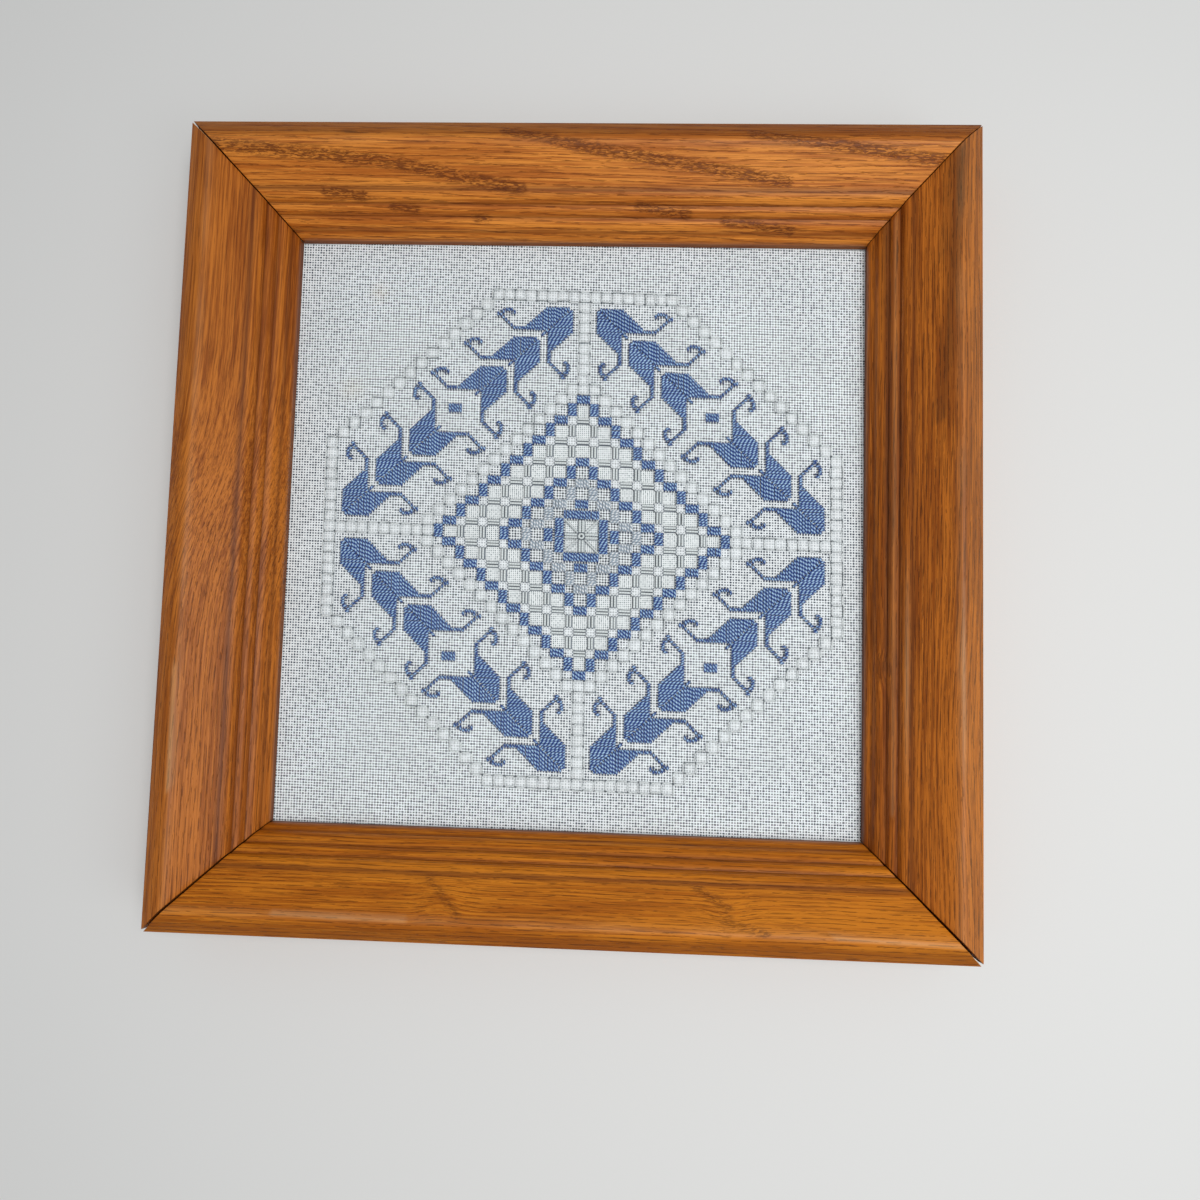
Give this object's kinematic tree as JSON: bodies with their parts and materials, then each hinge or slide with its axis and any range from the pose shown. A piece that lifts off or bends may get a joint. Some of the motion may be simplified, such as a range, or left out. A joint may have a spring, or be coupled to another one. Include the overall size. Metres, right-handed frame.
{
  "type": "framed hardanger embroidery in a picture frame",
  "caption": "Square-cut openwork embroidery in blue and white thread on even-weave cloth, stretched over a board in a deep reeded oak picture frame with mitred corners.",
  "frame": {"origin": "on the surface that the frame's back rests on, under the middle of the frame's outline", "axes": "+X to the right and +Y up in the picture as it is seen, +Z out of its face"},
  "size_m": [0.321, 0.327, 0.036],
  "materials": {
    "oak": "honey-stained open-grained oak under satin varnish",
    "linen": "cool white even-weave cotton with blue and white pearl cotton stitches",
    "backing_linen": "fine plain-woven bluish white cotton",
    "board": "plain matt mounting board"
  },
  "bodies": {
    "root": {"oak_rail_top": "oak", "oak_rail_left": "oak", "oak_rail_bottom": "oak", "oak_rail_right": "oak", "hardanger_cloth": "linen", "backing_cloth": "backing_linen", "mounting_board": "board"}
  },
  "joints": []
}
